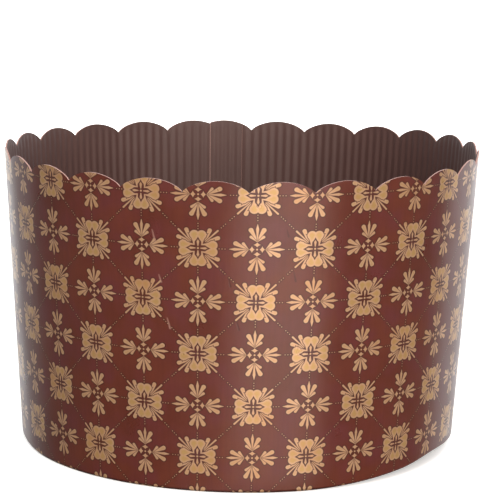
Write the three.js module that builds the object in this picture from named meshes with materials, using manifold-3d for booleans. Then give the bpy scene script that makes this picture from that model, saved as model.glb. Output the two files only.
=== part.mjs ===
// Paper baking mold for a 1 kg panettone: a low round cup that opens a little towards its rim.
// Units are millimetres, +Z is up, and the origin is the centre of the foot on the table.
// Angles run round the cup from the front (-Y) towards +X, and the strip's lap seam is at the back.
import * as THREE from "three";
import { mergeVertices } from "three/addons/utils/BufferGeometryUtils.js";
import Module from "manifold-3d";

// Wall
const footRadius = 85; // outside of the wall, carried down to the table
const flareSlope = 0.0602; // outward travel of the wall for each millimetre of height
const troughHeight = 109; // table to the bottom of the notches between two scallops
const scallopRise = 4.4; // notch to the crown of a scallop
const scallopPitch = 23.4; // along the rim
const scallopRoundness = 0.62; // exponent of the lobe: lower is broader, with sharper notches
const firstNotchAngle = 1.8; // degrees, the notch nearest the front
const linerThickness = 0.5; // smooth printed outer paper
const fluteDepth = 0.4; // fluted inner paper, which stands in from the liner
const flutePitch = 3.3; // along the foot
const pressedThickness = 0.55; // both papers, pressed flat at the cut rim and in the lap
const rimPressHeight = 3; // height below the rim over which the flutes fade out

// Lap seam
const lapWidth = 13; // overlap of the two ends of the strip
const lapRampWidth = 10; // length over which the outer end climbs onto the inner one
const cutEdgeWidth = 0.12; // slant of the strip's two cut ends

// Folded foot
const foldRadius = 1.2; // outside of the fold
const hemWidth = 10.5; // from the wall's outside to the hem's inner edge
const hemThickness = 0.6;
const pleatDepth = 0.5; // how far a gathered pleat stands off the table
const flutesPerPleat = 3;

// Crushed parts of the foot and uneven parts of the rim, as the baked mold has them
const rightFootLift = 3.6;
const leftFootLift = 1.1;
const rightRimRise = 2.6;
const leftRimRise = 0.9;
const footLifts = [
  { from: 15, peak: 68, to: 115, lift: rightFootLift },
  { from: -120, peak: -82, to: -58, lift: leftFootLift },
];
const rimRises = [
  { from: 35, peak: 100, to: 170, lift: rightRimRise },
  { from: -150, peak: -92, to: -35, lift: leftRimRise },
];

// Base
const baseThickness = 0.6;
const seatClearance = 0.3; // between the base and the hem or wall that it lies in
const steamHoleDiameter = 3.2;
const steamHoleRingPitch = 18;
const steamHoleRings = 3;
const holesPerRingStep = 6; // each ring has this many more holes than the one inside it
const holeFacets = 10;

const turn = 2 * Math.PI;
const radians = THREE.MathUtils.degToRad;
const fluteCount = Math.round((turn * footRadius) / flutePitch);
const lapFlutes = Math.round(lapWidth / flutePitch);

const wasm = await Module();
wasm.setup();

function wallRadius(height) {
  return footRadius + flareSlope * height;
}

// A smooth hill over an angle in degrees: nothing at from and to, the full lift at peak.
function hill(angle, { from, peak, to, lift }) {
  const rise = THREE.MathUtils.smoothstep(angle, from, peak);
  const fall = 1 - THREE.MathUtils.smoothstep(angle, peak, to);
  return lift * rise * fall;
}

function hills(angle, list) {
  return list.reduce((sum, one) => sum + hill(angle, one), 0);
}

// Height of the cut rim: broad lobes with narrow notches, counted along the strip from its first notch.
function rimHeight(angle, stripAngle) {
  const pitchAngle = (360 * scallopPitch) / (turn * wallRadius(troughHeight));
  const phase = (stripAngle - firstNotchAngle) / pitchAngle;
  const lobe = Math.abs(Math.sin(Math.PI * phase)) ** scallopRoundness;
  return troughHeight + scallopRise * lobe + hills(angle, rimRises);
}

// Degrees that a length along the foot takes.
function footAngle(length) {
  return (360 * length) / (turn * footRadius);
}

// Angle of a column: the lap holds a whole number of flutes, and so does the rest of the wall.
function columnAngle(step) {
  const lapAngle = footAngle(lapWidth);
  const pastLap = step - 2 * lapFlutes;
  if (pastLap < 0) return -180 + (lapAngle * step) / (2 * lapFlutes);
  return -180 + lapAngle + ((360 - lapAngle) * pastLap) / (2 * (fluteCount - lapFlutes));
}

// Columns of the wall, two for each flute. The strip's inner end starts at column 0 and its outer end
// stops at the lap's last column: each of these is split in two, a cut edge apart.
function wallColumns() {
  const halfEdge = footAngle(cutEdgeWidth) / 2;
  const columns = [];
  const place = (step, shift, onOuterEnd, onRamp) => {
    const angle = columnAngle(step) + shift;
    const ramp = THREE.MathUtils.clamp(1 - (180 - angle) / footAngle(lapRampWidth), 0, 1);
    columns.push({
      angle,
      stripAngle: onOuterEnd ? angle + 360 : angle,
      outerShift: pressedThickness * (onOuterEnd ? 1 : ramp),
      innerShift: pressedThickness * (onRamp ? ramp : 0),
      fluteStand: step % 2 ? fluteDepth : 0,
      pleat: pleatLift(step),
    });
  };
  place(0, halfEdge, true, false);
  for (let step = 1; step < 2 * fluteCount; step++) {
    const inLap = step < 2 * lapFlutes;
    if (step === 2 * lapFlutes) {
      place(step, -halfEdge, true, false);
      place(step, halfEdge, false, false);
    } else place(step, 0, inLap, !inLap);
  }
  place(2 * fluteCount, -halfEdge, false, true);
  return columns;
}

// A pleat takes a third of its width standing off the table, and lies flat on it for the rest.
function pleatLift(step) {
  const along = (step % (2 * flutesPerPleat)) / (2 * flutesPerPleat);
  return along >= 0.5 && along < 0.8 ? pleatDepth : 0;
}

// Section of the wall at one column, as [radius, height]: down the outside, round the fold, in along
// the hem's underside, back along its top, and up the fluted inside to the rim.
function wallSection({ angle, stripAngle, outerShift, innerShift, fluteStand, pleat }) {
  const rim = rimHeight(angle, stripAngle);
  const lift = hills(angle, footLifts);
  const foldTop = foldRadius + lift;
  const foldCentre = wallRadius(foldTop) - foldRadius + outerShift;
  const eighth = foldRadius * Math.SQRT1_2;
  const hemEdge = footRadius - hemWidth;
  const corner = lift + hemThickness;
  const press = rim - rimPressHeight;
  const inside = (height) => wallRadius(height) - linerThickness - fluteStand + innerShift;
  return [
    [wallRadius(rim) + outerShift, rim],
    [foldCentre + foldRadius, foldTop],
    [foldCentre + eighth, foldTop - eighth],
    [foldCentre, lift],
    [hemEdge, pleat],
    [hemEdge, pleat + hemThickness],
    [inside(corner), corner],
    [inside(press), press],
    [wallRadius(rim) - pressedThickness + innerShift, rim],
  ];
}

// Closed ring of faces through sections that stand round the axis, one for each angle in degrees.
function ringOfSections(angles, sections) {
  const across = sections[0].length;
  const positions = [];
  sections.forEach((section, column) => {
    const angle = radians(angles[column]);
    for (const [radius, height] of section) {
      positions.push(radius * Math.sin(angle), -radius * Math.cos(angle), height);
    }
  });
  const faces = [];
  for (let column = 0; column < sections.length; column++) {
    const next = (column + 1) % sections.length;
    for (let row = 0; row < across; row++) {
      const below = (row + 1) % across;
      const a = column * across + row;
      const b = column * across + below;
      const c = next * across + row;
      const d = next * across + below;
      faces.push(a, b, c, c, b, d);
    }
  }
  const geometry = new THREE.BufferGeometry();
  geometry.setAttribute("position", new THREE.Float32BufferAttribute(positions, 3));
  geometry.setIndex(faces);
  return geometry;
}

function sideWallGeometry() {
  const columns = wallColumns();
  return ringOfSections(
    columns.map((column) => column.angle),
    columns.map(wallSection),
  );
}

function solidOf(geometry) {
  const bare = geometry.clone();
  bare.deleteAttribute("normal");
  bare.deleteAttribute("uv");
  const merged = mergeVertices(bare, 1e-4);
  return new wasm.Manifold(
    new wasm.Mesh({
      numProp: 3,
      vertProperties: new Float32Array(merged.getAttribute("position").array),
      triVerts: new Uint32Array(merged.getIndex().array),
    }),
  );
}

function geometryOf(solid) {
  const mesh = solid.getMesh();
  const geometry = new THREE.BufferGeometry();
  geometry.setAttribute("position", new THREE.BufferAttribute(mesh.vertProperties, 3));
  geometry.setIndex(new THREE.BufferAttribute(mesh.triVerts, 1));
  return geometry;
}

// The round of paper before its holes are cut: flat inside the hem's edge, and bent up over the hem
// with it where the foot is crushed.
function bareBaseSolid() {
  const radius = footRadius - linerThickness - fluteDepth - seatClearance;
  const bendRadius = footRadius - hemWidth;
  const foldCentre = footRadius - foldRadius;
  const under = hemThickness + pleatDepth + seatClearance;
  const profile = [
    [0, under],
    [bendRadius, under],
    [radius, under],
    [radius, under + baseThickness],
    [bendRadius, under + baseThickness],
    [0, under + baseThickness],
  ].map(([x, y]) => new THREE.Vector2(x, y));
  const geometry = new THREE.LatheGeometry(profile, fluteCount);
  geometry.rotateX(Math.PI / 2);
  const position = geometry.getAttribute("position");
  for (let i = 0; i < position.count; i++) {
    const x = position.getX(i);
    const y = position.getY(i);
    const onHem = Math.max(0, Math.hypot(x, y) - bendRadius) / (foldCentre - bendRadius);
    const angle = THREE.MathUtils.radToDeg(Math.atan2(x, -y));
    position.setZ(i, position.getZ(i) + onHem * hills(angle, footLifts));
  }
  return solidOf(geometry);
}

function steamHole(distance, angle) {
  const height = 4 * (hemThickness + pleatDepth + seatClearance + baseThickness);
  const geometry = new THREE.CylinderGeometry(
    steamHoleDiameter / 2,
    steamHoleDiameter / 2,
    height,
    holeFacets,
  );
  geometry.rotateX(Math.PI / 2);
  geometry.translate(distance * Math.sin(angle), -distance * Math.cos(angle), 0);
  return solidOf(geometry);
}

function baseDiscGeometry() {
  let base = bareBaseSolid();
  base = base.subtract(steamHole(0, 0));
  for (let ring = 1; ring <= steamHoleRings; ring++) {
    const count = ring * holesPerRingStep;
    for (let hole = 0; hole < count; hole++) {
      base = base.subtract(steamHole(ring * steamHoleRingPitch, (turn * hole) / count));
    }
  }
  return geometryOf(base);
}

function paperPiece(name, geometry, color, roughness) {
  const material = new THREE.MeshStandardMaterial({ color, roughness, metalness: 0 });
  const mesh = new THREE.Mesh(geometry, material);
  mesh.name = name;
  return mesh;
}

const group = new THREE.Group();
group.add(paperPiece("side_wall", sideWallGeometry(), 0x6b3b33, 0.5));
group.add(paperPiece("base_disc", baseDiscGeometry(), 0x4e302c, 0.75));

export default group;
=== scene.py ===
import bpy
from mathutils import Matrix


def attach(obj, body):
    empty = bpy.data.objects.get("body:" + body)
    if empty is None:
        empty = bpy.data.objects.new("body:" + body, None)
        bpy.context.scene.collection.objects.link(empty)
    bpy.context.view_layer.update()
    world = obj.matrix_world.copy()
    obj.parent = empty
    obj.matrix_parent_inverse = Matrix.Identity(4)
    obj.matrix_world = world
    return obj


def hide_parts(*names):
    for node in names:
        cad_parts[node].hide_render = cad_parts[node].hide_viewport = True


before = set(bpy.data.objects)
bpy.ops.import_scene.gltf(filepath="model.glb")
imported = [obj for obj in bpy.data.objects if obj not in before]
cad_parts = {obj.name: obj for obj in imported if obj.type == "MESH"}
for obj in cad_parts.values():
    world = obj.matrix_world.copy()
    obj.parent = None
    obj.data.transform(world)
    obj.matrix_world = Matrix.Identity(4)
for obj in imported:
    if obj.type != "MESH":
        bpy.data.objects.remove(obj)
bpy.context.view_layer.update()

import math

import bpy
import numpy as np
from mathutils import Matrix, Vector
from mathutils.geometry import delaunay_2d_cdt

print("frame loaded:", sorted(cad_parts))

# camera: stands in front of the mold (-Y), a little above its rim, and leans by a degree
view = {
    "distance": 0.7609,      # from the mold's axis
    "height": 0.2121,        # over the table
    "tiltDown": 10.324,      # degrees
    "pan": 0.116,
    "roll": 1.061,
    "lens": 142.53,          # for the frame's long side on 36 mm
}


def makeCamera(view):
    tilt, pan, roll = (math.radians(view[k]) for k in ("tiltDown", "pan", "roll"))
    forward = Vector((math.sin(pan) * math.cos(tilt), math.cos(pan) * math.cos(tilt), -math.sin(tilt)))
    right = Vector((math.cos(pan), -math.sin(pan), 0))
    up = right.cross(forward)
    side = right * math.cos(roll) + up * math.sin(roll)
    top = up * math.cos(roll) - right * math.sin(roll)
    data = bpy.data.cameras.new("camera")
    data.lens = view["lens"]
    data.sensor_width = 36
    camera = bpy.data.objects.new("camera", data)
    bpy.context.collection.objects.link(camera)
    camera.matrix_world = Matrix((
        (side.x, top.x, -forward.x, 0),
        (side.y, top.y, -forward.y, -view["distance"]),
        (side.z, top.z, -forward.z, view["height"]),
        (0, 0, 0, 1),
    ))
    bpy.context.scene.camera = camera


makeCamera(view)
bpy.context.scene.view_settings.view_transform = "Standard"
print("camera ready")


# small node helpers: each returns the output socket of a new node
def plug(tree, value, socket):
    if isinstance(value, bpy.types.NodeSocket):
        tree.links.new(value, socket)
    else:
        socket.default_value = value


def calc(tree, operation, *values):
    node = tree.nodes.new("ShaderNodeMath")
    node.operation = operation
    for value, socket in zip(values, node.inputs):
        plug(tree, value, socket)
    return node.outputs[0]


def vec(tree, operation, *values):
    node = tree.nodes.new("ShaderNodeVectorMath")
    node.operation = operation
    for value, socket in zip(values, node.inputs):
        plug(tree, value, socket)
    scalar = operation in ("LENGTH", "DOT_PRODUCT", "DISTANCE")
    return node.outputs["Value" if scalar else "Vector"]


def scaled(tree, vector, factor):
    node = tree.nodes.new("ShaderNodeVectorMath")
    node.operation = "SCALE"
    plug(tree, vector, node.inputs[0])
    plug(tree, factor, node.inputs["Scale"])
    return node.outputs["Vector"]


def point(tree, x, y, z=0.0):
    node = tree.nodes.new("ShaderNodeCombineXYZ")
    for value, socket in zip((x, y, z), node.inputs):
        plug(tree, value, socket)
    return node.outputs[0]


def parts(tree, vector):
    node = tree.nodes.new("ShaderNodeSeparateXYZ")
    tree.links.new(vector, node.inputs[0])
    return node.outputs[0], node.outputs[1], node.outputs[2]


def blendColour(tree, amount, first, second, kind="MIX"):
    node = tree.nodes.new("ShaderNodeMix")
    node.data_type = "RGBA"
    node.blend_type = kind
    plug(tree, amount, node.inputs["Factor"])
    plug(tree, first, node.inputs["A"])
    plug(tree, second, node.inputs["B"])
    return node.outputs["Result"]


def noise(tree, coordinates, scale, detail=2.0, roughness=0.5):
    node = tree.nodes.new("ShaderNodeTexNoise")
    tree.links.new(coordinates, node.inputs["Vector"])
    node.inputs["Scale"].default_value = scale
    node.inputs["Detail"].default_value = detail
    node.inputs["Roughness"].default_value = roughness
    return node.outputs["Fac"]


def ranged(tree, value, low, high, toLow, toHigh):
    node = tree.nodes.new("ShaderNodeMapRange")
    plug(tree, value, node.inputs["Value"])
    numbers = {"From Min": low, "From Max": high, "To Min": toLow, "To Max": toHigh}
    for name, number in numbers.items():
        node.inputs[name].default_value = number
    return node.outputs["Result"]


# distance to a drop: a capsule from start to end whose radius runs from r0 to r1
def drop(tree, place, start, end, r0, r1):
    run = (end[0] - start[0], end[1] - start[1])
    square = run[0] ** 2 + run[1] ** 2
    fromStart = vec(tree, "SUBTRACT", place, (start[0], start[1], 0))
    along = vec(tree, "DOT_PRODUCT", fromStart, (run[0] / square, run[1] / square, 0))
    node = tree.nodes.new("ShaderNodeClamp")
    tree.links.new(along, node.inputs["Value"])
    along = node.outputs[0]
    nearest = scaled(tree, (run[0], run[1], 0), along)
    away = vec(tree, "DISTANCE", fromStart, nearest)
    radius = calc(tree, "MULTIPLY_ADD", along, r1 - r0, r0)
    return calc(tree, "SUBTRACT", away, radius)


def union(tree, *distances):
    result = distances[0]
    for other in distances[1:]:
        result = calc(tree, "MINIMUM", result, other)
    return result


def without(tree, shape, taken):
    return calc(tree, "MAXIMUM", shape, calc(tree, "MULTIPLY", taken, -1.0))


# distance to a row of three dots along the first axis, the middle one at centre
def threeDots(tree, along, across, centre, pitch, radius):
    fromMiddle = calc(tree, "SUBTRACT", along, centre)
    count = calc(tree, "ROUND", calc(tree, "DIVIDE", fromMiddle, pitch))
    count = calc(tree, "MINIMUM", calc(tree, "MAXIMUM", count, -1.0), 1.0)
    left = calc(tree, "SUBTRACT", fromMiddle, calc(tree, "MULTIPLY", count, pitch))
    return calc(tree, "SUBTRACT", vec(tree, "LENGTH", point(tree, left, across)), radius)


# the print: a square lattice of quatrefoils and palmette crosses, all sizes in cells
ornament = {
    "columnPitch": 13.066,   # degrees round the wall
    "columnStart": 3.75,
    "rowPitch": 0.01906,     # down the wall
    "topRow": 0.10867,       # height of the first row's centres
    "edge": 0.007,           # softness of the ink's edge
}

# quatrefoil: one octant of it, with places, radii and widths in cells
flower = {
    "lobe": (0.252, 0.062, 0),
    "lobeRadius": 0.083,
    "waist": 0.072,          # half width of a petal at its root
    "waistGrowth": 1.2,
    "petalEnd": 0.270,
    "diagonalLeaf": ((0.128, 0.128), (0.335, 0.335), 0.007, 0.016),
    "sideLeaf": ((0.140, 0.126), (0.338, 0.199), 0.013, 0.037),
    "leafGap": 0.012,
    "petalGap": 0.014,
    "outline": [
        ((0.0, 0.0), (0.105, 0.0), 0.054, 0.058),
        ((0.105, 0.0), (0.212, 0.0), 0.058, 0.001),
    ],
    "light": [
        ((0.050, 0.0), (0.122, 0.0), 0.009, 0.022),
        ((0.122, 0.0), (0.156, 0.0), 0.022, 0.005),
    ],
    "middleRadius": 0.018,
    "dotRadius": 0.0078,
    "straightDots": (0.410, 0.050),                              # middle dot and pitch
    "slantedDots": (0.428 * math.sqrt(2), 0.035 * math.sqrt(2)),
}

# palmette cross: one octant of it, in cells too
palm = {
    "leaf": [
        ((0.170, 0.0), (0.380, 0.0), 0.004, 0.026),
        ((0.380, 0.0), (0.468, 0.0), 0.026, 0.004),
    ],
    "bigLeaf": ((0.178, 0.010), (0.362, 0.110), 0.008, 0.041),
    "smallLeaf": ((0.150, 0.006), (0.234, 0.108), 0.005, 0.025),
    "bigGap": 0.009,
    "smallGap": 0.008,
    "kiteCentre": 0.088,
    "kiteHalf": (0.047, 0.064),
    "kitePower": 0.74,       # below 1 the kite's sides are hollow
    "kiteScale": 0.040,
    "middleRadius": 0.017,
}


# distance to the quatrefoil in one cell: heart petals, three-leaf sprigs, an outlined cross and dots
def quatrefoil(tree, folded, a, b):
    lobe = calc(tree, "SUBTRACT", vec(tree, "DISTANCE", folded, flower["lobe"]), flower["lobeRadius"])
    waist = calc(tree, "MULTIPLY_ADD", calc(tree, "MULTIPLY", a, a), flower["waistGrowth"], flower["waist"])
    past = calc(tree, "SUBTRACT", a, flower["petalEnd"])
    body = calc(tree, "MAXIMUM", calc(tree, "SUBTRACT", b, waist), past)
    petal = union(tree, lobe, body)
    diagonalLeaf = drop(tree, folded, *flower["diagonalLeaf"])
    sideLeaf = drop(tree, folded, *flower["sideLeaf"])
    sideLeaf = without(tree, sideLeaf, calc(tree, "SUBTRACT", diagonalLeaf, flower["leafGap"]))
    gap = calc(tree, "SUBTRACT", petal, flower["petalGap"])
    sprig = without(tree, union(tree, diagonalLeaf, sideLeaf), gap)
    outline = union(tree, *[drop(tree, folded, *row) for row in flower["outline"]])
    middle = calc(tree, "SUBTRACT", vec(tree, "LENGTH", folded), flower["middleRadius"])
    light = union(tree, *[drop(tree, folded, *row) for row in flower["light"]], middle)
    solid = union(tree, without(tree, union(tree, petal, sprig), outline), light)
    straight = threeDots(tree, a, b, *flower["straightDots"], flower["dotRadius"])
    along = calc(tree, "MULTIPLY", calc(tree, "ADD", a, b), math.sqrt(0.5))
    across = calc(tree, "MULTIPLY", calc(tree, "SUBTRACT", a, b), math.sqrt(0.5))
    slanted = threeDots(tree, along, across, *flower["slantedDots"], flower["dotRadius"])
    return union(tree, solid, straight, slanted)


# distance to the palmette cross in one cell: five-leaf palmettes, kites and a middle dot
def palmetteCross(tree, folded, a, b):
    leaf = union(tree, *[drop(tree, folded, *row) for row in palm["leaf"]])
    bigLeaf = drop(tree, folded, *palm["bigLeaf"])
    smallLeaf = drop(tree, folded, *palm["smallLeaf"])
    bigLeaf = without(tree, bigLeaf, calc(tree, "SUBTRACT", leaf, palm["bigGap"]))
    smallLeaf = without(tree, smallLeaf, calc(tree, "SUBTRACT", bigLeaf, palm["smallGap"]))
    palmette = union(tree, leaf, bigLeaf, smallLeaf)
    fromCentre = calc(tree, "ABSOLUTE", calc(tree, "SUBTRACT", a, palm["kiteCentre"]))
    u = calc(tree, "POWER", calc(tree, "DIVIDE", fromCentre, palm["kiteHalf"][0]), palm["kitePower"])
    v = calc(tree, "POWER", calc(tree, "DIVIDE", b, palm["kiteHalf"][1]), palm["kitePower"])
    kite = calc(tree, "SUBTRACT", calc(tree, "ADD", u, v), 1.0)
    kite = calc(tree, "MULTIPLY", kite, palm["kiteScale"])
    middle = calc(tree, "SUBTRACT", vec(tree, "LENGTH", folded), palm["middleRadius"])
    return union(tree, palmette, kite, middle)


# distance to the ink's edge in cells, negative inside the ornament
def inkDistance(tree, strip):
    turned = vec(tree, "ADD", strip, (0.5, 0.5, 0))
    cell = vec(tree, "FLOOR", turned)
    x, y = parts(tree, vec(tree, "ABSOLUTE", vec(tree, "SUBTRACT", strip, cell)))[:2]
    a = calc(tree, "MAXIMUM", x, y)
    b = calc(tree, "MINIMUM", x, y)
    folded = point(tree, a, b)
    column, row = parts(tree, cell)[:2]
    odd = calc(tree, "FLOORED_MODULO", calc(tree, "ADD", column, row), 2.0)
    first = quatrefoil(tree, folded, a, b)
    second = palmetteCross(tree, folded, a, b)
    gapTo = calc(tree, "SUBTRACT", second, first)
    return calc(tree, "MULTIPLY_ADD", gapTo, odd, first)


# small creases and rubs that the mold has, each from start to end in cells of the print
wear = {
    "pale": [
        ((-1.805, 0.71), (-1.755, 0.91)),
        ((-1.690, 1.55), (-1.650, 1.68)),
        ((-1.545, 2.36), (-1.495, 2.55)),
    ],
    "dark": [
        ((-0.470, 1.56), (-0.440, 1.70)),
        ((-0.320, 2.38), (-0.280, 2.52)),
        ((0.500, 0.64), (0.530, 0.76)),
        ((0.640, 1.42), (0.680, 1.60)),
    ],
    "thin": 0.001,
    "width": 0.010,
    "softness": 0.018,
}


# how strongly a mark of one kind shows: 1 along its middle, 0 past its soft edge
def wearMask(tree, strip, kind):
    thin, wide = wear["thin"], wear["width"]
    distance = union(tree, *[drop(tree, strip, start, end, thin, wide) for start, end in wear[kind]])
    return ranged(tree, distance, -wear["width"], wear["softness"], 1.0, 0.0)


# printed paper: coated brown stock with the ornament in gold ink
printed = {
    "paper": (0.112, 0.025, 0.013, 1),
    "paperDark": (0.088, 0.018, 0.010, 1),
    "paperPurple": (0.102, 0.022, 0.021, 1),
    "keyline": 0.42,         # how dark the paper is right beside the ink
    "inkMiddle": (0.448, 0.282, 0.112, 1),
    "inkEdge": (0.515, 0.318, 0.198, 1),
    "inkBrown": (0.440, 0.215, 0.095, 1),
    "foldPaintedShade": 0.45,        # painted shade: how dark the paper is painted where it folds under at the foot
    "foldShadeHeights": (0.0004, 0.0014),
    "hemStart": (5.74, 5.84),    # cells down the strip over which that shade ends, past the fold
    "paleMark": (0.360, 0.200, 0.160, 1),
    "darkMark": (0.045, 0.012, 0.009, 1),
    "paperRoughness": 0.30,
    "inkRoughness": 0.30,
    "inkMetal": 0.38,
    "cloudScale": 42.0,      # soft patches of a darker and a browner tone
    "fleckScale": 95.0,      # purple flecks
    "grainScale": 700.0,     # the ink's fine grain
    "threads": (16.0, 1.1),  # streaks in each cell, across and down
    "bumpDepth": 0.00006,
}


def newMaterial(name):
    material = bpy.data.materials.new(name)
    material.use_nodes = True
    tree = material.node_tree
    return material, tree, tree.nodes["Principled BSDF"]


def uvOf(tree, name):
    node = tree.nodes.new("ShaderNodeUVMap")
    node.uv_map = name
    return node.outputs[0]


def objectPlace(tree):
    return tree.nodes.new("ShaderNodeTexCoord").outputs["Object"]


def bumped(tree, shader, height, distance):
    node = tree.nodes.new("ShaderNodeBump")
    tree.links.new(height, node.inputs["Height"])
    node.inputs["Distance"].default_value = distance
    node.inputs["Strength"].default_value = 1.0
    tree.links.new(node.outputs[0], shader.inputs["Normal"])


# threads of noise that run down the strip, as the fluted inner paper shows through
def streaks(tree, strip, fine, long):
    x, y = parts(tree, strip)[:2]
    stretched = point(tree, calc(tree, "MULTIPLY", x, fine), calc(tree, "MULTIPLY", y, long))
    return noise(tree, stretched, 1.0, 3.0, 0.55)


# the bare paper's colour: clouded, flecked, darker beside the ink, and with painted shade where it folds
# under
def paperColour(tree, strip, place, distance, cloud, threads):
    darker = ranged(tree, cloud, 0.35, 0.65, 0.0, 1.0)
    paper = blendColour(tree, darker, printed["paperDark"], printed["paper"])
    flecks = noise(tree, place, printed["fleckScale"], 3.0, 0.5)
    paper = blendColour(tree, ranged(tree, flecks, 0.42, 0.66, 0.0, 0.9), paper, printed["paperPurple"])
    beside = ranged(tree, distance, 0.003, 0.030, printed["keyline"], 1.0)
    tone = calc(tree, "MULTIPLY", beside, ranged(tree, threads, 0.3, 0.7, 0.95, 1.05))
    # painted shade: darker low down, where the paper turns under at the foot, ending past the fold on the
    # hem
    height = parts(tree, place)[2]
    fold = ranged(tree, height, *printed["foldShadeHeights"], printed["foldPaintedShade"], 1.0)
    hem = ranged(tree, parts(tree, strip)[1], *printed["hemStart"], 0.0, 1.0)
    tone = calc(tree, "MULTIPLY", tone, calc(tree, "MAXIMUM", fold, hem))
    return blendColour(tree, 1.0, paper, point(tree, tone, tone, tone), "MULTIPLY")


# the gold ink's colour: paler along its edges, browner in patches and grains
def inkColour(tree, distance, cloud, grain):
    toEdge = ranged(tree, distance, -0.048, -0.012, 0.0, 1.0)
    gold = blendColour(tree, toEdge, printed["inkMiddle"], printed["inkEdge"])
    gold = blendColour(tree, ranged(tree, cloud, 0.52, 0.80, 0.0, 0.75), gold, printed["inkBrown"])
    return blendColour(tree, ranged(tree, grain, 0.35, 0.75, 0.0, 0.35), gold, printed["inkBrown"])


def printedPaper():
    material, tree, shader = newMaterial("printed_paper")
    strip = uvOf(tree, "strip")
    place = objectPlace(tree)
    distance = inkDistance(tree, strip)
    ink = ranged(tree, distance, -ornament["edge"], ornament["edge"], 1.0, 0.0)
    cloud = noise(tree, place, printed["cloudScale"], 4.0, 0.6)
    grain = noise(tree, place, printed["grainScale"], 2.0, 0.6)
    threads = streaks(tree, strip, *printed["threads"])
    paper = paperColour(tree, strip, place, distance, cloud, threads)
    colour = blendColour(tree, ink, paper, inkColour(tree, distance, cloud, grain))
    pale = wearMask(tree, strip, "pale")
    dark = wearMask(tree, strip, "dark")
    colour = blendColour(tree, calc(tree, "MULTIPLY", pale, 0.75), colour, printed["paleMark"])
    colour = blendColour(tree, calc(tree, "MULTIPLY", dark, 0.80), colour, printed["darkMark"])
    tree.links.new(colour, shader.inputs["Base Color"])
    rough = ranged(tree, ink, 0.0, 1.0, printed["paperRoughness"], printed["inkRoughness"])
    rough = calc(tree, "MULTIPLY", rough, ranged(tree, cloud, 0.3, 0.7, 0.9, 1.15))
    tree.links.new(rough, shader.inputs["Roughness"])
    tree.links.new(calc(tree, "MULTIPLY", ink, printed["inkMetal"]), shader.inputs["Metallic"])
    height = calc(tree, "MULTIPLY_ADD", grain, 0.10, calc(tree, "MULTIPLY", threads, 0.30))
    height = calc(tree, "MULTIPLY_ADD", cloud, 0.8, height)
    height = calc(tree, "MULTIPLY_ADD", calc(tree, "ADD", pale, dark), -0.5, height)
    bumped(tree, shader, height, printed["bumpDepth"])
    return material


# the base and the wall's fluted inside: matte dark brown baking paper
plain = {
    "dark": (0.055, 0.024, 0.021, 1),
    "pale": (0.085, 0.040, 0.035, 1),
    "roughness": 0.62,
    "cloudScale": 60.0,
    "fibreScale": 1200.0,
    "bumpDepth": 0.00004,
}


def plainPaper():
    material, tree, shader = newMaterial("plain_paper")
    place = objectPlace(tree)
    cloud = noise(tree, place, plain["cloudScale"], 4.0, 0.6)
    tree.links.new(blendColour(tree, cloud, plain["dark"], plain["pale"]), shader.inputs["Base Color"])
    shader.inputs["Roughness"].default_value = plain["roughness"]
    bumped(tree, shader, noise(tree, place, plain["fibreScale"], 3.0, 0.6), plain["bumpDepth"])
    return material


# the paper's cut edges, where its pale fibres show
cutEdge = {
    "dark": (0.30, 0.15, 0.13, 1),
    "pale": (0.52, 0.34, 0.30, 1),
    "roughness": 0.8,
    "fibreScale": 1500.0,
}


def cutPaper():
    material, tree, shader = newMaterial("cut_paper")
    fibre = noise(tree, objectPlace(tree), cutEdge["fibreScale"], 3.0, 0.6)
    tree.links.new(blendColour(tree, fibre, cutEdge["dark"], cutEdge["pale"]), shader.inputs["Base Color"])
    shader.inputs["Roughness"].default_value = cutEdge["roughness"]
    return material


materials = [printedPaper(), plainPaper(), cutPaper()]
print("materials ready:", [material.name for material in materials])

# side wall: the sizes are the frame's own, in metres, and angles are degrees from the front. The
# second foot lift is a small kink that only the looks have
wall = {
    "footRadius": 0.085,
    "flareSlope": 0.0602,
    "troughHeight": 0.109,
    "scallopRise": 0.0044,
    "scallopPitch": 0.0234,
    "scallopRoundness": 0.62,
    "firstNotch": 1.8,
    "liner": 0.0005,
    "fluteDepth": 0.0004,
    "flutePitch": 0.0033,
    "pressed": 0.00055,
    "pressHeight": 0.003,
    "lapWidth": 0.013,
    "lapRamp": 0.010,
    "cutEdge": 0.00012,
    "foldRadius": 0.0012,
    "hemWidth": 0.0105,
    "hemThickness": 0.0006,
    "pleatDepth": 0.0005,
    "flutesPerPleat": 3,
    "footLifts": ((15, 68, 115, 0.0036), (46, 60, 74, 0.0009), (-120, -82, -58, 0.0011)),
    "rimRises": ((35, 100, 170, 0.0026), (-150, -92, -35, 0.0009)),
    "pleatRise": (0.36, 0.50),   # along a pleat's pitch
    "pleatFall": (0.66, 0.83),
    "columnsPerFlute": 8,
    "outerRows": 24,
    "foldRows": 6,
    "hemRows": 6,
    "overHemRows": 4,
    "innerRows": 11,
}
materialRows = {"printed": 0, "plain": 1, "cut": 2}
sharpAngle = math.radians(38)    # edges that turn more are drawn crisp


# smooth step: 0 below low, 1 above high, and 3tt - 2ttt between them
def smooth(x, low, high):
    t = np.clip((x - low) / (high - low), 0, 1)
    return t * t * (3 - 2 * t)


# sum of smooth hills over the angle, each rising from a start to a peak and falling to an end
def hills(angle, rows):
    return sum(
        lift * smooth(angle, start, peak) * (1 - smooth(angle, peak, end))
        for start, peak, end, lift in rows
    )


# outside radius: the foot's, plus the flare's slope times the height
def wallRadius(height):
    return wall["footRadius"] + wall["flareSlope"] * height


# rim height: notch height plus |sin|^roundness lobes along the strip, plus the uneven parts
def rimHeight(angle, strip):
    pitch = math.degrees(wall["scallopPitch"] / wallRadius(wall["troughHeight"]))
    lobe = np.abs(np.sin(np.pi * (strip - wall["firstNotch"]) / pitch)) ** wall["scallopRoundness"]
    return wall["troughHeight"] + wall["scallopRise"] * lobe + hills(angle, wall["rimRises"])


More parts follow.
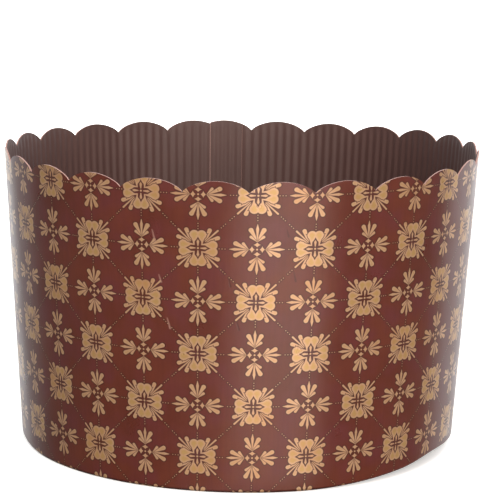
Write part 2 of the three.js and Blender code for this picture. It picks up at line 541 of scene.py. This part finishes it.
# columns round the wall: angle, angle along the strip, and what the lap adds outside and inside
def wallColumns():
    fluteCount = round(2 * math.pi * wall["footRadius"] / wall["flutePitch"])
    lapFlutes = round(wall["lapWidth"] / wall["flutePitch"])
    perMetre = 360 / (2 * math.pi * wall["footRadius"])
    lapAngle, rampAngle = wall["lapWidth"] * perMetre, wall["lapRamp"] * perMetre
    half = wall["cutEdge"] * perMetre / 2
    fine = wall["columnsPerFlute"]
    lap = np.linspace(-180 + half, -180 + lapAngle - half, lapFlutes * fine + 1)
    rest = np.linspace(-180 + lapAngle + half, 180 - half, (fluteCount - lapFlutes) * fine + 1)
    angle = np.concatenate([lap, rest])
    onLap = np.arange(len(angle)) < len(lap)
    ramp = np.clip(1 - (180 - angle) / rampAngle, 0, 1)
    flute = np.concatenate([
        np.linspace(0, lapFlutes, len(lap)),
        np.linspace(lapFlutes, fluteCount, len(rest)),
    ])
    return {
        "angle": angle,
        "strip": np.where(onLap, angle + 360, angle),
        "outside": wall["pressed"] * np.where(onLap, 1, ramp),
        "inside": wall["pressed"] * np.where(onLap, 0, ramp),
        "flute": flute,
    }


# wall section: for each row the radius and height at every column, down the outside, round the fold,
# in along the hem, back over it and up the fluted inside; slant is the distance down the strip
def wallRows(columns):
    angle, strip = columns["angle"], columns["strip"]
    rim = rimHeight(angle, strip)
    lift = hills(angle, wall["footLifts"])
    fold = wall["foldRadius"]
    foldTop = fold + lift
    foldCentre = wallRadius(foldTop) - fold + columns["outside"]
    wave = (columns["flute"] % wall["flutesPerPleat"]) / wall["flutesPerPleat"]
    pleat = smooth(wave, *wall["pleatRise"]) * (1 - smooth(wave, *wall["pleatFall"]))
    pleat = wall["pleatDepth"] * pleat
    stand = wall["fluteDepth"] * (0.5 - 0.5 * np.cos(2 * np.pi * columns["flute"]))
    hemEdge = wall["footRadius"] - wall["hemWidth"]
    rows = []

    def add(radius, height, slant, finish):
        rows.append((radius + 0 * angle, height + 0 * angle, slant + 0 * angle, materialRows[finish]))

    for t in np.linspace(1, 0, wall["outerRows"]):
        height = foldTop + (rim - foldTop) * t
        add(wallRadius(height) + columns["outside"], height, height, "printed")
    for turn in np.linspace(0, math.pi / 2, wall["foldRows"] + 1)[1:]:
        radius = foldCentre + fold * math.cos(turn)
        add(radius, foldTop - fold * math.sin(turn), foldTop - fold * turn, "printed")
    foldEnd = foldTop - fold * math.pi / 2
    for t in np.linspace(0, 1, wall["hemRows"] + 1)[1:]:
        radius = foldCentre + (hemEdge - foldCentre) * t
        finish = "cut" if t == 1 else "printed"
        add(radius, lift * (1 - t) + pleat * t, foldEnd - (foldCentre - radius), finish)
    low = lift + wall["hemThickness"]
    inner = wallRadius(low) - wall["liner"] - stand + columns["inside"]
    for t in np.linspace(0, 1, wall["overHemRows"] + 1):
        height = lift * t + pleat * (1 - t) + wall["hemThickness"]
        add(hemEdge + (inner - hemEdge) * t, height, 0, "plain")
    press = rim - wall["pressHeight"]
    for t in np.linspace(0, 1, wall["innerRows"] + 1)[1:]:
        height = low + (press - low) * t
        add(wallRadius(height) - wall["liner"] - stand + columns["inside"], height, 0, "plain")
    for t, finish in ((0.5, "plain"), (1.0, "cut")):
        height = press + wall["pressHeight"] * t
        thickness = (wall["liner"] + stand) * (1 - t) + wall["pressed"] * t
        add(wallRadius(height) - thickness + columns["inside"], height, 0, finish)
    return rows


# a closed skin over rows and columns, both going round: faces join neighbours in each direction
def ringMesh(name, columns, rows):
    angle = np.radians(columns["angle"])
    radius, height, slant = (np.stack([row[k] for row in rows], axis=1) for k in range(3))
    x, y = radius * np.sin(angle)[:, None], -radius * np.cos(angle)[:, None]
    place = np.stack([x, y, height], axis=2)
    across, down = radius.shape
    c, r = np.meshgrid(np.arange(across), np.arange(down), indexing="ij")
    nextC, nextR = (c + 1) % across, (r + 1) % down
    corners = np.stack([c * down + r, c * down + nextR, nextC * down + nextR, nextC * down + r], axis=2)
    mesh = bpy.data.meshes.new(name)
    mesh.from_pydata(place.reshape(-1, 3).tolist(), [], corners.reshape(-1, 4).tolist())
    # print coordinates: cells round the strip and cells down it
    u = (columns["strip"] - ornament["columnStart"]) / ornament["columnPitch"]
    v = (ornament["topRow"] - slant) / ornament["rowPitch"]
    u = np.broadcast_to(u[:, None], v.shape)
    uNext = np.roll(u, -1, axis=0)
    vNext, vDown = np.roll(v, -1, axis=0), np.roll(v, -1, axis=1)
    pairs = np.stack([
        np.stack([u, v], axis=2),
        np.stack([u, vDown], axis=2),
        np.stack([uNext, np.roll(vNext, -1, axis=1)], axis=2),
        np.stack([uNext, vNext], axis=2),
    ], axis=2)
    layer = mesh.uv_layers.new(name="strip")
    layer.data.foreach_set("uv", pairs.reshape(-1).astype(np.float32))
    finish = np.broadcast_to(np.array([row[3] for row in rows]), (across, down)).copy()
    cut = np.abs(np.roll(columns["strip"], -1) - columns["strip"]) > 180
    cut |= np.abs(np.roll(columns["inside"], -1) - columns["inside"]) > wall["pressed"] / 2
    finish[cut] = materialRows["cut"]
    mesh.polygons.foreach_set("material_index", finish.reshape(-1).astype(np.int32))
    mesh.polygons.foreach_set("use_smooth", np.ones(across * down, dtype=bool))
    mesh.update()
    mesh.set_sharp_from_angle(angle=sharpAngle)
    return mesh


# a mesh becomes a piece that rides on the one body and stands for a solid of the frame
def addPiece(name, mesh, node):
    piece = bpy.data.objects.new(name, mesh)
    bpy.context.collection.objects.link(piece)
    for material in materials:
        mesh.materials.append(material)
    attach(piece, "root")
    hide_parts(node)
    return piece


columns = wallColumns()
rows = wallRows(columns)
wallPiece = addPiece("paper_wall", ringMesh("paper_wall", columns, rows), "side_wall")
print("wall ready:", len(wallPiece.data.polygons), "faces")

# base: a round of paper with rings of punched steam holes, which lies on the hem and bends up with it
base = {
    "radius": 0.0838,
    "bendRadius": 0.0745,    # the hem's inner edge
    "under": 0.0014,         # height of its underside
    "thickness": 0.0006,
    "holeRadius": 0.0016,
    "ringPitch": 0.018,
    "rings": 3,
    "holesPerRing": 6,       # each ring has this many more holes than the one inside it
    "burrHeight": 0.00022,   # the punch pushes the paper down round each hole
    "burrWidth": 0.0011,
    "rimPoints": 180,
    "holePoints": 24,
    "innerRings": (0.063, 0.069),    # loose rings of points between the holes and the bend
    "innerPoints": 120,
    "nearlySame": 1e-7,
}


# centres of the holes: one in the middle, then evenly round each ring from the front
def holeCentres():
    centres = [(0.0, 0.0)]
    for ring in range(1, base["rings"] + 1):
        count = ring * base["holesPerRing"]
        turns = 2 * math.pi * np.arange(count) / count
        away = ring * base["ringPitch"]
        centres += list(zip(away * np.sin(turns), -away * np.cos(turns)))
    return np.array(centres)


# closed loop of points round a centre
def ringPoints(centre, radius, count):
    turn = 2 * np.pi * np.arange(count) / count
    return np.stack([centre[0] + radius * np.cos(turn), centre[1] + radius * np.sin(turn)], axis=1)


# flat triangles between the rim and the holes, from loops of points and loose points inside them
def baseTriangles():
    centres = holeCentres()
    hole, burr, bend = base["holeRadius"], base["burrWidth"], base["bendRadius"]
    around, punched = base["rimPoints"], base["holePoints"]
    onHem = base["radius"] - bend
    loops = [ringPoints((0, 0), base["radius"], around)]
    loops += [ringPoints(centre, hole, punched) for centre in centres]
    loose = [ringPoints((0, 0), bend + onHem * t, around) for t in (0, 0.5)]
    loose += [ringPoints(centre, hole + burr * t, punched) for centre in centres for t in (0.5, 1.0)]
    loose += [ringPoints((0, 0), radius, base["innerPoints"]) for radius in base["innerRings"]]
    points = np.concatenate(loops + loose)
    starts = np.cumsum([0] + [len(loop) for loop in loops])
    edges = [
        (int(start) + k, int(start) + (k + 1) % len(loop))
        for start, loop in zip(starts, loops)
        for k in range(len(loop))
    ]
    made = delaunay_2d_cdt([Vector(place) for place in points], edges, [], 0, base["nearlySame"])
    flat = np.array([tuple(place) for place in made[0]])
    faces = np.array(made[2], dtype=int)
    middle = flat[faces].mean(axis=1)
    nearest = np.min(np.linalg.norm(middle[:, None] - centres[None], axis=2), axis=1)
    shortest = hole * math.cos(math.pi / punched) ** 2   # inside this, a triangle fills a hole
    inside = (nearest > shortest) & (np.linalg.norm(middle, axis=1) < base["radius"])
    return flat, faces[inside], centres


# height of the base's underside: flat, raised over the hem where the foot is lifted, and pushed
# down by a smooth step towards each hole
def baseHeight(flat, centres):
    away = np.linalg.norm(flat, axis=1)
    angle = np.degrees(np.arctan2(flat[:, 0], -flat[:, 1]))
    foldCentre = wall["footRadius"] - wall["foldRadius"]
    onHem = np.clip(away - base["bendRadius"], 0, None) / (foldCentre - base["bendRadius"])
    nearest = np.min(np.linalg.norm(flat[:, None] - centres[None], axis=2), axis=1) - base["holeRadius"]
    burr = base["burrHeight"] * (1 - smooth(nearest, 0, base["burrWidth"]))
    return base["under"] + onHem * hills(angle, wall["footLifts"]) - burr


# the base's skin: the triangles underneath turned over, the same ones on top, and the edges between
def baseMesh():
    flat, faces, centres = baseTriangles()
    low = baseHeight(flat, centres)
    under = np.column_stack([flat, low])
    upper = np.column_stack([flat, low + base["thickness"]])
    count = len(flat)
    pairs = np.concatenate([faces[:, [0, 1]], faces[:, [1, 2]], faces[:, [2, 0]]])
    single = {tuple(pair) for pair in pairs.tolist()} - {tuple(pair[::-1]) for pair in pairs.tolist()}
    sides = [(b, a, a + count, b + count) for a, b in sorted(single)]
    mesh = bpy.data.meshes.new("paper_base")
    skin = faces[:, ::-1].tolist() + (faces + count).tolist() + sides
    mesh.from_pydata(np.concatenate([under, upper]).tolist(), [], skin)
    mesh.polygons.foreach_set("use_smooth", np.ones(len(mesh.polygons), dtype=bool))
    finish = np.full(len(mesh.polygons), materialRows["plain"], dtype=np.int32)
    mesh.polygons.foreach_set("material_index", finish)
    mesh.update()
    mesh.set_sharp_from_angle(angle=sharpAngle)
    return mesh


basePiece = addPiece("paper_base", baseMesh(), "base_disc")
print("base ready:", len(basePiece.data.polygons), "faces")

# studio: pale floor, a soft box at the front right, a key lamp at the front left, a white backdrop
# with a dimmer wing on each side, and dim fill all round
studio = {
    "floorSize": 12.0,
    "floorGap": 0.0001,      # keeps the floor's plane off the hem's
    "floorMottle": 0.01,
    "floorPale": 0.86,       # as the camera sees it
    "floorGrey": 0.12,       # as the paper's sheen and the bounced light see it
    "floorLift": 0.52,       # added for the camera, so that the open floor is white
    "floorInside": (0.070, 0.086),   # under the mold the floor isn't lifted
    "floorFade": (0.25, 1.1),        # distances over which the floor fades to plain white
    "floorGloss": 0.16,      # roughness of the soft box's image in the floor, which the wall reflects
    "softBoxAngle": 19.0,    # degrees to the right of the camera
    "softBoxDistance": 1.4,
    "softBoxHeight": 0.42,
    "softBoxSize": (1.05, 0.55),
    "softBoxPower": 20.0,
    "softBoxColour": (1.0, 0.91, 0.82),
    "keyPlace": (-0.28, -1.18, 0.95),
    "keySize": (0.8, 0.8),
    "keyPower": 11.6,
    "backdropDistance": 2.4,
    "backdropSize": (4.0, 2.6),
    "backdropPower": 125.0,
    "backdropColour": (0.98, 0.99, 1.0),
    "wingAngle": 51.0,       # degrees from the backdrop's middle to each wing beside it
    "wingSize": (1.0, 2.6),
    "wingPowers": (("left_wing", -1, 11.0), ("right_wing", 1, 27.0)),
    "fill": 0.30,
    "fillSeen": 0.34,        # the same fill, as the paper's sheen sees it
}


# the camera sees a matte pale floor, and the paper's sheen sees a dark glossy one
def makeFloor(studio):
    half = studio["floorSize"] / 2
    low = -studio["floorGap"]
    corners = [(-half, -half, low), (half, -half, low), (half, half, low), (-half, half, low)]
    mesh = bpy.data.meshes.new("floor")
    mesh.from_pydata(corners, [], [(0, 1, 2, 3)])
    floor = bpy.data.objects.new("floor", mesh)
    bpy.context.collection.objects.link(floor)
    material, tree, pale = newMaterial("pale_floor")
    cloud = noise(tree, objectPlace(tree), 3.0)
    mottle = studio["floorMottle"]
    tone = studio["floorPale"]
    shade = ranged(tree, cloud, 0.0, 1.0, tone - mottle, tone + mottle)
    tree.links.new(shade, pale.inputs["Base Color"])
    pale.inputs["Roughness"].default_value = 0.9
    pale.inputs["Specular IOR Level"].default_value = 0.1
    pale.inputs["Emission Color"].default_value = (1, 1, 1, 1)
    away = vec(tree, "LENGTH", objectPlace(tree))
    far = ranged(tree, away, *studio["floorFade"], 0.0, 1.0 - studio["floorLift"])
    outside = ranged(tree, away, *studio["floorInside"], 0.0, studio["floorLift"])
    tree.links.new(calc(tree, "ADD", far, outside), pale.inputs["Emission Strength"])
    mirrored = tree.nodes.new("ShaderNodeBsdfPrincipled")
    tone = studio["floorGrey"]
    shade = ranged(tree, cloud, 0.0, 1.0, tone - mottle, tone + mottle)
    tree.links.new(shade, mirrored.inputs["Base Color"])
    mirrored.inputs["Roughness"].default_value = studio["floorGloss"]
    mirrored.inputs["Specular IOR Level"].default_value = 1.0
    mix = tree.nodes.new("ShaderNodeMixShader")
    tree.links.new(tree.nodes.new("ShaderNodeLightPath").outputs["Is Camera Ray"], mix.inputs[0])
    tree.links.new(mirrored.outputs[0], mix.inputs[1])
    tree.links.new(pale.outputs[0], mix.inputs[2])
    tree.links.new(mix.outputs[0], tree.nodes["Material Output"].inputs["Surface"])
    mesh.materials.append(material)


# a rectangular lamp at a place, aimed at the middle of the mold
def makeLamp(name, place, size, power, colour):
    data = bpy.data.lights.new(name, "AREA")
    data.shape = "RECTANGLE"
    data.size, data.size_y = size
    data.energy = power
    data.color = colour
    lamp = bpy.data.objects.new(name, data)
    bpy.context.collection.objects.link(lamp)
    lamp.location = place
    aim = Vector((0, 0, 0.06)) - lamp.location
    lamp.rotation_euler = aim.to_track_quat("-Z", "Y").to_euler()


def makeLamps(studio):
    turn = math.radians(studio["softBoxAngle"])
    away = studio["softBoxDistance"]
    front = (away * math.sin(turn), -away * math.cos(turn), studio["softBoxHeight"])
    makeLamp("soft_box", front, studio["softBoxSize"], studio["softBoxPower"], studio["softBoxColour"])
    makeLamp("key", studio["keyPlace"], studio["keySize"], studio["keyPower"], studio["softBoxColour"])
    back = (0, studio["backdropDistance"], studio["backdropSize"][1] / 2)
    makeLamp("backdrop", back, studio["backdropSize"], studio["backdropPower"], studio["backdropColour"])
    turn = math.radians(studio["wingAngle"])
    for name, side, power in studio["wingPowers"]:
        place = (side * back[1] * math.sin(turn), back[1] * math.cos(turn), back[2])
        makeLamp(name, place, studio["wingSize"], power, studio["backdropColour"])


# plain white for the camera, dim for everything else
def makeWorld(studio):
    world = bpy.data.worlds.new("studio")
    bpy.context.scene.world = world
    world.use_nodes = True
    tree = world.node_tree
    path = tree.nodes.new("ShaderNodeLightPath")
    strength = ranged(tree, path.outputs["Is Glossy Ray"], 0.0, 1.0, studio["fill"], studio["fillSeen"])
    strength = calc(tree, "MAXIMUM", strength, path.outputs["Is Camera Ray"])
    tree.links.new(strength, tree.nodes["Background"].inputs["Strength"])
    tree.nodes["Background"].inputs["Color"].default_value = (1, 1, 1, 1)


makeFloor(studio)
makeLamps(studio)
makeWorld(studio)
print("studio ready")
